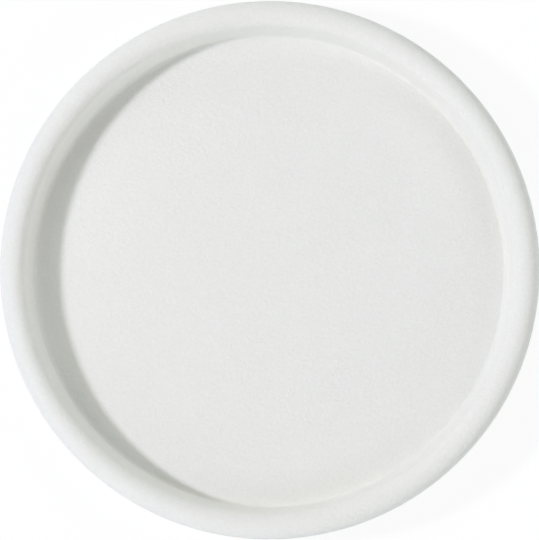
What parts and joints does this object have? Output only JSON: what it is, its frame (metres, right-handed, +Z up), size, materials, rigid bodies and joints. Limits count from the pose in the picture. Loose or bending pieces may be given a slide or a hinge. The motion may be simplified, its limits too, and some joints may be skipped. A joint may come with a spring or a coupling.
{
  "type": "candle plate",
  "caption": "Round, shallow candle plate with a thick full-round rim, a leaning wall and a flat floor, standing on felt feet stuck inside its foot ring.",
  "frame": {"origin": "centre of the plate, on the table that its felt feet stand on", "axes": "+Z up along the plate's axis, out of the well; the first foot is halfway between +X and +Y"},
  "size_m": [0.12, 0.12, 0.015],
  "materials": {
    "glazed_stoneware": "matte",
    "felt": "matte",
    "adhesive": "satin"
  },
  "bodies": {
    "root": {"dish": "glazed_stoneware", "felt_foot_1": "felt", "felt_foot_2": "felt", "felt_foot_3": "felt", "felt_foot_4": "felt", "adhesive_film_1": "adhesive", "adhesive_film_2": "adhesive", "adhesive_film_3": "adhesive", "adhesive_film_4": "adhesive"}
  },
  "joints": []
}
